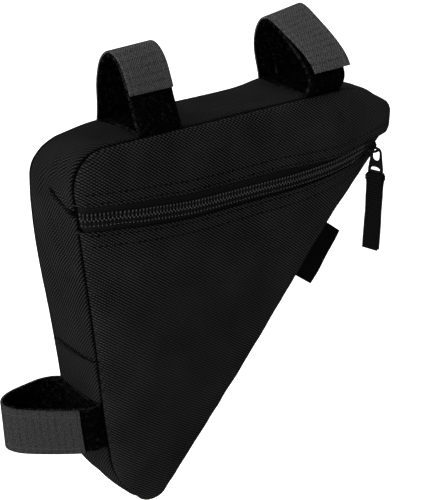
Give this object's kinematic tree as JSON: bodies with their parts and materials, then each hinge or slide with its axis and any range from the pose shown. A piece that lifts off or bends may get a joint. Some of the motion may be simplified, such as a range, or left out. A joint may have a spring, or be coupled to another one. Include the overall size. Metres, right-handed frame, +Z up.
{
  "type": "bicycle frame bag",
  "caption": "Soft triangular frame bag with a zipped front face, a webbing zip pull and hook-and-loop straps for the top tube and the seat tube.",
  "frame": {"origin": "on the axis of the top tube that the bag hangs from, midway between the two top straps", "axes": "+X forward along the top tube, away from the seat tube; +Y from the zipped face to the back face; +Z up"},
  "size_m": [0.2318, 0.0666, 0.2369],
  "materials": {
    "twill": "woven nylon, matt",
    "zip_tape": "matt",
    "zip_coil": "satin",
    "black_metal": "gloss black",
    "webbing": "ribbed, matt",
    "hook_band": "woven, matt",
    "pile_band": "loop pile",
    "label": "satin"
  },
  "bodies": {
    "bag": {"gusset_upper": "twill", "gusset_lower": "twill", "front_panel_upper": "twill", "front_panel_lower": "twill", "rear_panel": "twill", "zip_tape_upper": "zip_tape", "zip_tape_lower": "zip_tape", "zip_coil_upper": "zip_coil", "zip_coil_lower": "zip_coil", "zip_slider": "black_metal", "top_strap_rear_hook": "hook_band", "top_strap_front_hook": "hook_band", "seat_strap_hook": "hook_band", "top_strap_rear_pile": "pile_band", "top_strap_front_pile": "pile_band", "seat_strap_pile": "pile_band", "side_label": "label"},
    "pull": {"zip_puller": "black_metal", "pull_webbing": "webbing"}
  },
  "joints": [
    {"name": "pull_swing", "type": "hinge", "parent": "bag", "child": "pull", "pos_m": [0.07911, -0.03343, -0.05107], "axis": [-0.9818, -0.19, 0], "range_deg": [-4, 140]}
  ]
}
